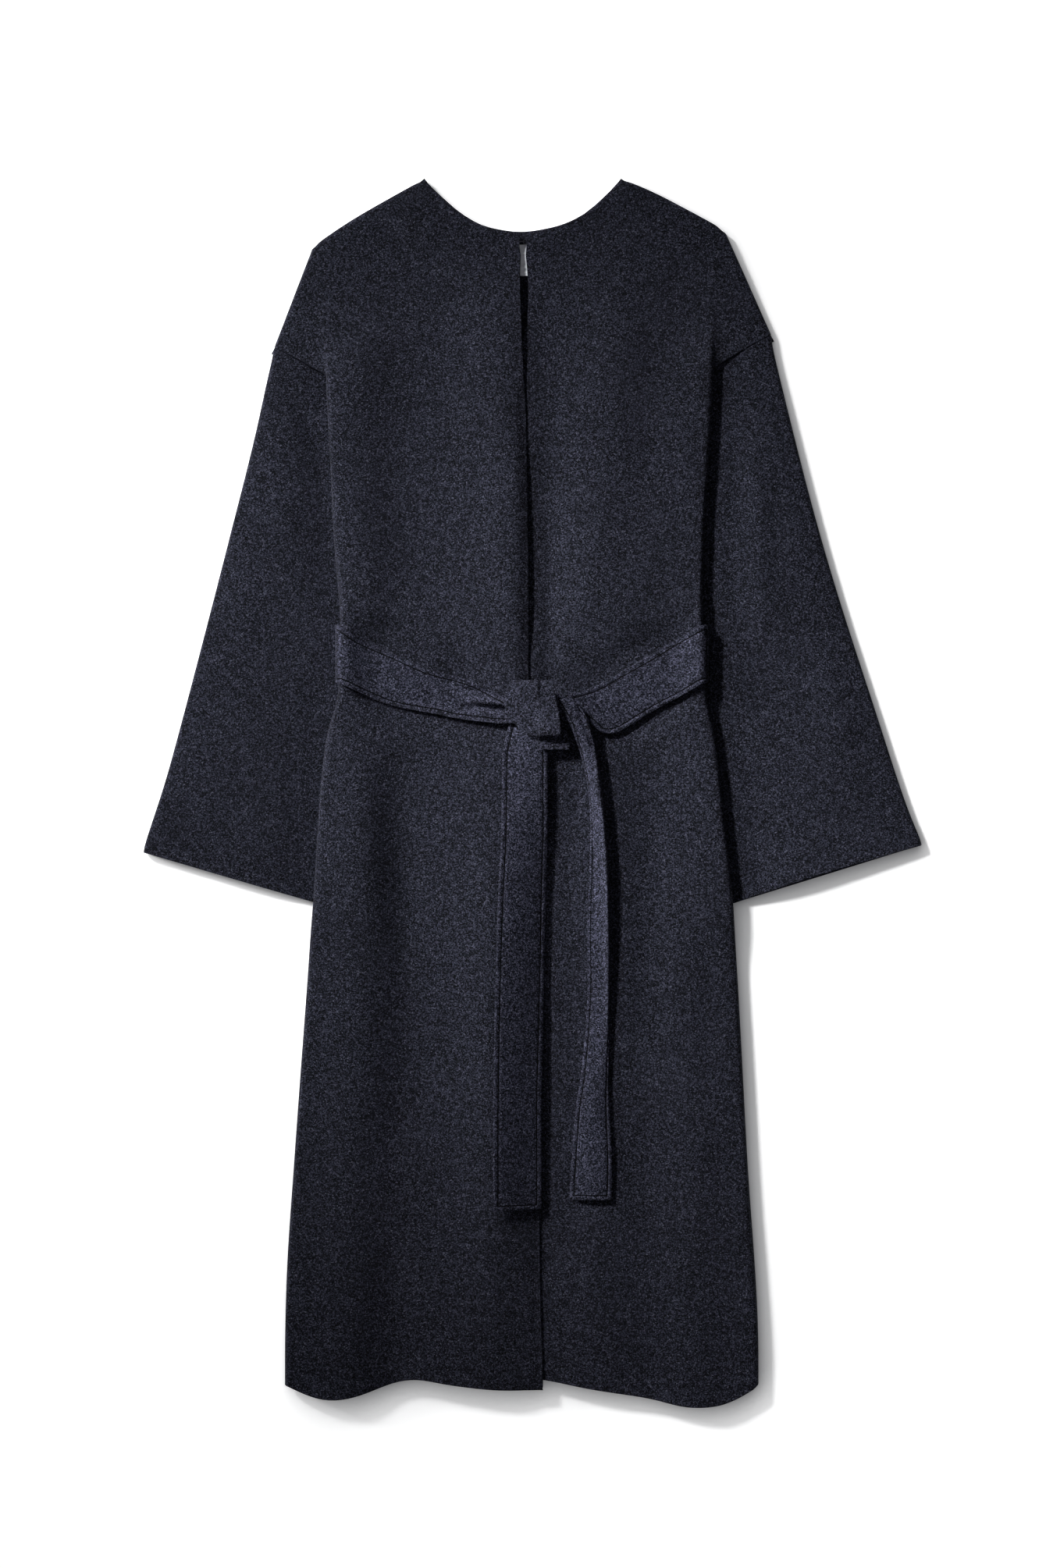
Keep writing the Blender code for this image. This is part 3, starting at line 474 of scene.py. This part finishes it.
def plain_rule(across, up, height, edge, normal):
    """The back lies on the surface, and so does the belt behind it: nothing shapes them."""
    return 0.0


print("creases on fronts and sleeves:", len(FRONT_CREASES), "and", len(SLEEVE_CREASES))

# %% [markdown]
# A crease or a dip can sink a cloth into the one below it. So each upper cloth is compared with the
# lower ones: a ray straight down finds their top, and a vertex that lies too low is lifted to it.

# %% Keep each cloth on top of the one below it
CLEAR = 0.12  # how far a cloth is kept off the one below it, in millimetres
BODY_HALF = 168.0  # beyond this the side seams begin, where the layers are joined
BODY_TOP = 1045.0
RAY_START = 100.0  # higher than anything on the coat


def lie_on(piece, lower, thickness):
    """Lift a piece off the ones below it, wherever shaping has sunk it into them."""
    trees = [BVHTree.FromPolygons([vertex.co.copy() for vertex in other.data.vertices],
                                  [list(face.vertices) for face in other.data.polygons])
             for other in lower]
    normals = [vertex.normal.copy() for vertex in piece.data.vertices]
    lifted = 0
    for vertex, normal in zip(piece.data.vertices, normals):
        across, up, height = on_coat(vertex.co)
        if abs(across) < BODY_HALF and up < BODY_TOP:
            above = vertex.co + Vector((0, 0, RAY_START * MM))
            hits = [tree.ray_cast(above, Vector((0, 0, -1)))[0] for tree in trees]
            tops = [hit.z / MM for hit in hits if hit]
            lowest = max(tops, default=0.0) + CLEAR + thickness * (normal.z + 1) / 2
            if tops and height < lowest:
                vertex.co.z = lowest * MM
                lifted += 1
    print(piece.name, "was lifted at", lifted, "of", len(normals), "vertices")


print("cloths are kept", CLEAR, "mm apart")

# %% [markdown]
# At the neck the fronts stand a little apart, where the hook and eye hold them. Further down the
# under front slides below the other one, so the opening narrows to a point where the lap begins.

# %% The opening between the fronts
NECK_OPEN = 1.9  # how far each front gives way at the hook and eye
NECK_ACROSS = 2.0
NECK_SIDEWAYS = (16, 3)  # it gives way fully within 3 mm of the opening, and not at all past 16
NECK_ROWS = (1107, 1114)
SLIT_CLOSED = 5.0  # how far the under front slides, where the opening ends
SLIT_SIDEWAYS = (40, 8)
SLIT_ABOVE = (1062, 1000)  # the rows over which the slide grows, going down
SLIT_BELOW = (930, 960)  # and over which it has gone again


def open_neck(piece, side):
    """Draw a front's edge aside at the neck. The under front, at side 1, also closes the slit."""
    for vertex in piece.data.vertices:
        across, up, height = on_coat(vertex.co)
        near = ramp(side * (across - NECK_ACROSS), *NECK_SIDEWAYS) * ramp(up, *NECK_ROWS)
        vertex.co.x += side * NECK_OPEN * near * MM
        if side > 0:
            closed = ramp(up, *SLIT_ABOVE) * ramp(up, *SLIT_BELOW) * ramp(across, *SLIT_SIDEWAYS)
            vertex.co.x -= SLIT_CLOSED * closed * MM


print("the opening is", 2 * NECK_OPEN, "mm wider at the hook and eye")

# %% [markdown]
# With every rule in place the five large pieces are made in one go. The back is made first, because
# the fronts are then laid on it, the left one first and the right one over both.

# %% The coat's panels and sleeves
COAT_CLOTH = 2.0
COAT_LEVELS = 2  # each level of subdivision makes four faces of one
COAT_RULES = {"back_panel": plain_rule, "left_front": under_rule, "right_front": over_rule,
              "left_sleeve": sleeve_rule, "right_sleeve": sleeve_rule}
coat = {node: finer_copy(node, COAT_CLOTH, COAT_LEVELS, coat_wool, rule)
        for node, rule in COAT_RULES.items()}
open_neck(coat["right_front"], -1)
open_neck(coat["left_front"], 1)
lie_on(coat["left_front"], [coat["back_panel"]], COAT_CLOTH)
lie_on(coat["right_front"], [coat["back_panel"], coat["left_front"]], COAT_CLOTH)
print(len(coat), "pieces of the coat")

# %% [markdown]
# The belt is sewn face to face, turned out and topstitched, which leaves a soft roll along each
# edge and a fine groove inside it. Each stretch also leans as the pull on the knot makes it lean:
# the two side stretches stand up along their lower edges, and the flat tail along its left edge.

# %% How each stretch of the belt leans
BELT_CLOTH = 3.0
GROOVE_DEPTH = 0.5
GROOVE_REACH = 1.9
ROLL_HEIGHT = 0.25
ROLL_MIDDLE = 2.2  # from the edge, and the roll reaches as far again inwards
BELT_FACES_UP = (0, 0.5)
SIDE_LEAN = (0.5, -0.6)  # at the lower and the upper edge
LEAN_AT_SEAM = (172, 150)  # it sets in over this stretch from the side seam
LEAN_AT_KNOT = (22, 60)  # and over this one from the knot
FLAT_TAIL = (-28, 19)  # across, its left and right edge
FLAT_TAIL_LEAN = (5.2, -2.0)  # at the left and the right edge, from LEAN_ROWS down
LEAN_ROWS = (620, 420)
KNOT_CREASES = [
    Crease(-68, 671.5, -16, 669, 3.6, 5.5, -3.4, 1.0), Crease(-58, 692, -14, 679, 4.0, 5.5, -3.4, 1.0),
    Crease(-60, 681, -16, 675, 5.5, 5.5, 3.2, 1.0),
]
TAIL_CREASES = [
    Crease(50, 678, 67, 636, 5, 5, -3.0, 1.0), Crease(65, 640, 70, 596, 4, 4, -1.6, 0.0),
    Crease(70, 650, 80, 290, 22, 8, -4.5, 0.4),
]
KNOT_MIDDLE = (14.0, 668.0)
KNOT_REACH = (85, 50)  # fully pressed together within 50 mm of the middle, and not past 85
KNOT_LEAN = (0.05, -0.06)  # rise of its top for each millimetre across and up
KNOT_UPPER = (26, 31)  # the heights over which that lean sets in
KNOT_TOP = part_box("belt_knot")[1][2] / MM
KNOT_LAYERS = 20.0  # from the lowest layer's top to the knot's top
KNOT_TIGHT = 0.34  # the share of their height that pulling the knot tight takes away
TAIL_FOOT = 17.0  # the height at which the folded tail leaves the front
TAIL_TIGHT = 0.45  # the share of its height above that which its own weight takes away
TAIL_ROWS = (655, 610)  # from the knot down, it sinks more and more over these rows


def sewn_edge(edge, normal):
    """The roll along a topstitched edge and the groove inside it, on the side that faces up."""
    roll = ROLL_HEIGHT * hump(edge - ROLL_MIDDLE, ROLL_MIDDLE)
    groove = GROOVE_DEPTH * hump(edge - STITCH_IN, GROOVE_REACH)
    return (roll - groove) * ramp(normal.z, *BELT_FACES_UP)


def pulled_tight(across, up, height):
    """Near the knot its layers are pressed together. What lies there moves by one rule, so that no
    layer passes another."""
    away = sqrt((across - KNOT_MIDDLE[0]) ** 2 + (up - KNOT_MIDDLE[1]) ** 2)
    above = max(0.0, height - (KNOT_TOP - KNOT_LAYERS))
    return belt_dip(across, up) - KNOT_TIGHT * above * ramp(away, *KNOT_REACH)


def side_rule(across, up, height, edge, normal):
    upper, lower = belt_edges(across)
    share = min(1.0, max(0.0, (up - lower) / (upper - lower)))
    lean = mix(*SIDE_LEAN, share) * ramp(abs(across), *LEAN_AT_SEAM)
    lean *= ramp(abs(across - KNOT_ACROSS), *LEAN_AT_KNOT)
    folds = creases(KNOT_CREASES, across, up)
    return pulled_tight(across, up, height) + lean + folds + sewn_edge(edge, normal)


def right_tail_rule(across, up, height, edge, normal):
    share = (across - FLAT_TAIL[0]) / (FLAT_TAIL[1] - FLAT_TAIL[0])
    lean = mix(*FLAT_TAIL_LEAN, share) * ramp(up, *LEAN_ROWS)
    folds = creases(FRONT_CREASES, across, up)
    return pulled_tight(across, up, height) + lean + folds + sewn_edge(edge, normal)


def left_tail_rule(across, up, height, edge, normal):
    folds = creases(TAIL_CREASES + FRONT_CREASES, across, up)
    folds -= TAIL_TIGHT * max(0.0, height - TAIL_FOOT) * ramp(up, *TAIL_ROWS)
    return pulled_tight(across, up, height) + folds + sewn_edge(edge, normal)


def knot_rule(across, up, height, edge, normal):
    lean = KNOT_LEAN[0] * (across - CENTRE_ACROSS) + KNOT_LEAN[1] * (up - KNOT_MIDDLE[1])
    return pulled_tight(across, up, height) + lean * ramp(height, *KNOT_UPPER)


def under_knot_rule(across, up, height, edge, normal):
    return pulled_tight(across, up, height)


print("groove", GROOVE_DEPTH, "mm deep,", STITCH_IN, "mm from the edge")

# %% [markdown]
# The belt is made as the coat was, only finer, because its grooves are narrow. The stretches that
# lie on the fronts are then laid on them. The knot holds its own layers apart by its shape.

# %% The belt's stretches and the knot
BELT_LEVELS = 3
BELT_RULES = {"belt_back": plain_rule, "belt_right_side": side_rule, "belt_left_side": side_rule,
              "belt_right_tail": right_tail_rule, "belt_left_tail": left_tail_rule,
              "belt_knot": knot_rule, "belt_knot_under": under_knot_rule}
belt = {}
for node, rule in BELT_RULES.items():
    finish = knot_wool_painted_lit if "knot" in node else belt_wool_painted_lit
    belt[node] = finer_copy(node, BELT_CLOTH, BELT_LEVELS, finish, rule)
fronts = [coat["left_front"], coat["right_front"]]
for node in ("belt_right_side", "belt_left_side", "belt_right_tail", "belt_left_tail"):
    lie_on(belt[node], fronts, BELT_CLOTH)

# %% [markdown]
# At each armhole the sleeve and the dropped shoulder are sewn together, and inside the seam both
# cloths have an allowance that is pressed open. It shows only as the dark foot of the seam line. A
# grid is stretched to the strip's size, turned along the seam and given a thickness.

# %% The allowances inside the armhole seams
ALLOWANCE_WIDTH = 13.0
ALLOWANCE_CLOTH = 0.5
ALLOWANCE_HEIGHT = 2.3  # just above the back panel
ALLOWANCE_SOFTNESS = 0.2
ALLOWANCE_SHORT = 2.0  # by how much a strip is shorter than its seam
Seam = namedtuple("Seam", "name outer inner")
SEAMS = [Seam("right_armhole_allowance", (-239.0, 1018.0), (-189.0, 991.0)),
         Seam("left_armhole_allowance", (240.0, 1030.0), (187.0, 1000.0))]


def armhole_allowance(seam):
    """A strip of cloth under a seam, from its outer to its inner end."""
    start = in_metres(*seam.outer, ALLOWANCE_HEIGHT)
    end = in_metres(*seam.inner, ALLOWANCE_HEIGHT)
    run = end - start
    length = run.length - ALLOWANCE_SHORT * MM
    deselect_all()
    bpy.ops.mesh.primitive_grid_add(x_subdivisions=20, y_subdivisions=4, size=1,
                                    location=(start + end) / 2)
    strip = bpy.context.object
    strip.name = seam.name
    strip.dimensions = (length, ALLOWANCE_WIDTH * MM, 0)
    strip.rotation_euler.z = run.to_2d().angle_signed(Vector((1, 0)))
    bpy.ops.object.transform_apply(location=True, rotation=True, scale=True)
    wall = strip.modifiers.new("Cloth", "SOLIDIFY")
    wall.thickness = ALLOWANCE_CLOTH * MM
    wall.offset = 1.0
    softer = strip.modifiers.new("Soft edge", "BEVEL")
    softer.width = ALLOWANCE_SOFTNESS * MM
    softer.segments = 2
    apply_all(strip)
    bpy.ops.object.shade_smooth_by_angle(angle=radians(50))
    strip.data.materials.append(coat_wool)
    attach(strip, "root")
    return strip


allowances = [armhole_allowance(seam) for seam in SEAMS]
print([strip.name for strip in allowances])

# %% [markdown]
# The belt is one strip of doubled cloth. A cut would be given by its width and length in metres,
# and by an area where a cloth is not cut as a rectangle; only the record for it is defined here.

# %% The record of a cut
Cut = namedtuple("Cut", "width length area")

# %% [markdown]
# The label is woven satin: glossy, pale and a little ribbed by its weft. The hook and eye are
# blackened steel wire, which keeps a soft shine on its bends.

# %% Satin and steel
RIB_SCALE = 100.0  # a Wave texture repeats every 2 pi / 20 units, so here about every 3 mm
WIRE_SPOTS_MM = 1.5  # the wire is duller and shinier in spots about this far apart


def woven_satin(name):
    finish, tree, shader = new_material(name)
    place = add_node(tree, "ShaderNodeTexCoord").outputs["Object"]
    weft = add_node(tree, "ShaderNodeTexWave", {"bands_direction": "Y"}, {
        "Vector": place, "Scale": RIB_SCALE, "Distortion": 0.4})
    bump = add_node(tree, "ShaderNodeBump", {}, {
        "Height": weft.outputs["Fac"], "Strength": 0.3, "Distance": 0.1 * MM})
    tree.links.new(bump.outputs["Normal"], shader.inputs["Normal"])
    shader.inputs["Base Color"].default_value = linear("#e6e7ec")
    shader.inputs["Roughness"].default_value = 0.38
    shader.inputs["Sheen Weight"].default_value = 0.2
    return finish


def steel_wire(name):
    finish, tree, shader = new_material(name)
    place = add_node(tree, "ShaderNodeTexCoord").outputs["Object"]
    wear = add_node(tree, "ShaderNodeTexNoise", {}, {
        "Vector": place, "Scale": scale_of(WIRE_SPOTS_MM), "Detail": 2.0})
    rough = add_node(tree, "ShaderNodeMapRange", {}, {
        "Value": wear.outputs["Fac"], "To Min": 0.25, "To Max": 0.5})
    tree.links.new(rough.outputs["Result"], shader.inputs["Roughness"])
    shader.inputs["Base Color"].default_value = linear("#5d5e64")
    shader.inputs["Metallic"].default_value = 1.0
    return finish


satin = woven_satin("woven satin ribbon")
steel = steel_wire("blackened steel wire")
for node in ("neck_hook", "neck_eye"):
    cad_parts[node].data.materials.clear()
    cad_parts[node].data.materials.append(steel)
print("steel on the hook and the eye,", satin.name, "for the label")

# %% [markdown]
# Only a strip of the label shows in the opening. It creases behind the fronts, so its rule makes two
# small tucks across it, each with a place up the coat, a reach and a depth.

# %% The label in the back neck
Tuck = namedtuple("Tuck", "up reach depth")
TUCKS = [Tuck(1098.5, 1.6, 2.2), Tuck(1092.5, 1.4, 1.8)]
LABEL_CLOTH = 0.8
LABEL_LEVELS = 3


def label_rule(across, up, height, edge, normal):
    return -sum(tuck.depth * hump(up - tuck.up, tuck.reach) for tuck in TUCKS)


label = finer_copy("neck_label", LABEL_CLOTH, LABEL_LEVELS, satin, label_rule)
print("label with", len(TUCKS), "tucks")

# %% [markdown]
# The photograph is a product shot from straight above, on a ground that is pure white even where the
# light on the wool has faded. So the coat lies on a light table, whose glow makes the white. Beside
# the coat that glow has to fade softly to the lower right. An Ambient Occlusion node measures how
# much of the room a point of the table sees. Its normal is tipped to the light, so only points that
# the coat hides from the light turn dark.

# %% The light table
TABLE_SIZE = 12.0
TABLE_DROP = 0.4  # millimetres below the coat
GLOW_REACH = (0.35, 0.75)  # from the middle, in metres
GLOW = (0.62, 0.9)  # near the middle, where the lamps add to it, and far from it
TO_THE_LIGHT = Vector((-0.62, 0.5, 0.6)).normalized()
SHADOW_REACH = 0.08  # metres
SHADOW_DEPTH = 2.5

bpy.ops.mesh.primitive_plane_add(size=TABLE_SIZE, location=(0, 0, -TABLE_DROP * MM))
table = bpy.context.object
table.name = "studio_paper"
table_white, tree, shader = new_material("white light table")
from_middle = add_node(tree, "ShaderNodeVectorMath", {"operation": "LENGTH"}, {
    0: add_node(tree, "ShaderNodeTexCoord").outputs["Object"]})
glow = add_node(tree, "ShaderNodeMapRange", {}, {
    "Value": from_middle.outputs["Value"], "From Min": GLOW_REACH[0], "From Max": GLOW_REACH[1],
    "To Min": GLOW[0], "To Max": GLOW[1]})
tipped = add_node(tree, "ShaderNodeCombineXYZ", {}, dict(zip("XYZ", TO_THE_LIGHT)))
seen = add_node(tree, "ShaderNodeAmbientOcclusion", {"samples": 8}, {
    "Normal": tipped.outputs["Vector"], "Distance": SHADOW_REACH})
# painted shadow: the table's own glow is dimmed where the coat hides a point from the light
painted_shadow_factor = add_node(tree, "ShaderNodeMath", {"operation": "POWER"}, {
    0: seen.outputs["AO"], 1: SHADOW_DEPTH})
glow_with_painted_shadow = add_node(tree, "ShaderNodeMath", {"operation": "MULTIPLY"}, {
    0: glow.outputs["Result"], 1: painted_shadow_factor.outputs[0]})
tree.links.new(glow_with_painted_shadow.outputs[0], shader.inputs["Emission Strength"])
shader.inputs["Emission Color"].default_value = linear("#ffffff")
shader.inputs["Base Color"].default_value = linear("#f4f4f4")
shader.inputs["Roughness"].default_value = 0.9
table.data.materials.append(table_white)
print("light table,", TABLE_SIZE, "m wide")

# %% [markdown]
# Two lamps stand low at the upper left, so ridges shine on that side and shadows fall to the lower
# right. They have gridded fronts: with a small spread their light is a beam that fades towards its
# edge, which is why the wool is brightest near the knot. A weak lamp above fills the shadows.

# %% Lamps and room
Lamp = namedtuple("Lamp", "name place target size power colour spread")  # metres, watts, degrees
BEAM_MIDDLE = (0.25, -0.09, 0.0)
BEAM_SPREAD = 23.0
ALL_ROUND = 180.0
ROOM_LIGHT = 0.06
LAMPS = [
    Lamp("key_softbox", (-2.4, 2.2, 2.05), BEAM_MIDDLE, 0.6, 4.6, "#ffffff", BEAM_SPREAD),
    Lamp("raking_light", (-3.4, 1.3, 1.0), BEAM_MIDDLE, 0.6, 3.3, "#ffffff", BEAM_SPREAD),
    Lamp("overhead_fill", (0.3, -0.3, 3.6), (0.0, 0.0, 0.0), 2.4, 10.0, "#f2f5ff", ALL_ROUND),
]
for lamp in LAMPS:
    light = bpy.data.lights.new(lamp.name, "AREA")
    light.shape = "DISK"
    light.spread = radians(lamp.spread)
    light.size = lamp.size
    light.energy = lamp.power
    light.color = linear(lamp.colour)[:3]
    stand = bpy.data.objects.new(lamp.name, light)
    bpy.context.collection.objects.link(stand)
    stand.location = lamp.place
    aim = Vector(lamp.target) - Vector(lamp.place)
    stand.rotation_euler = aim.to_track_quat("-Z", "Y").to_euler()
world = bpy.data.worlds.new("soft room")
world.use_nodes = True
world.node_tree.nodes["Background"].inputs["Color"].default_value = linear("#ffffff")
world.node_tree.nodes["Background"].inputs["Strength"].default_value = ROOM_LIGHT
bpy.context.scene.world = world
bpy.context.scene.view_settings.view_transform = "Standard"
print(len(LAMPS), "lamps")

# %% [markdown]
# The camera looks straight down on the middle of the photograph's frame. Its picture is as tall as
# the photograph is on the coat, at 0.75 mm for each of its pixels.

# %% Camera
PHOTO_PIXEL = 0.75
PHOTO_TALL = 2009
VIEW_HEIGHT = PHOTO_TALL * PHOTO_PIXEL * MM
VIEW_CENTRE = (-9.25 * MM, 8.1 * MM)
CAMERA_HEIGHT = 3.2
COAT_MIDDLE = 6.0  # the height of the coat's layers that the scale is right for, in millimetres
SENSOR = 36.0

lens = bpy.data.cameras.new("photo_camera")
lens.sensor_width = SENSOR
lens.lens = SENSOR * CAMERA_HEIGHT / VIEW_HEIGHT
camera = bpy.data.objects.new("photo_camera", lens)
bpy.context.collection.objects.link(camera)
camera.location = (*VIEW_CENTRE, CAMERA_HEIGHT + COAT_MIDDLE * MM)
bpy.context.scene.camera = camera
print("camera lens", round(lens.lens, 1), "mm")
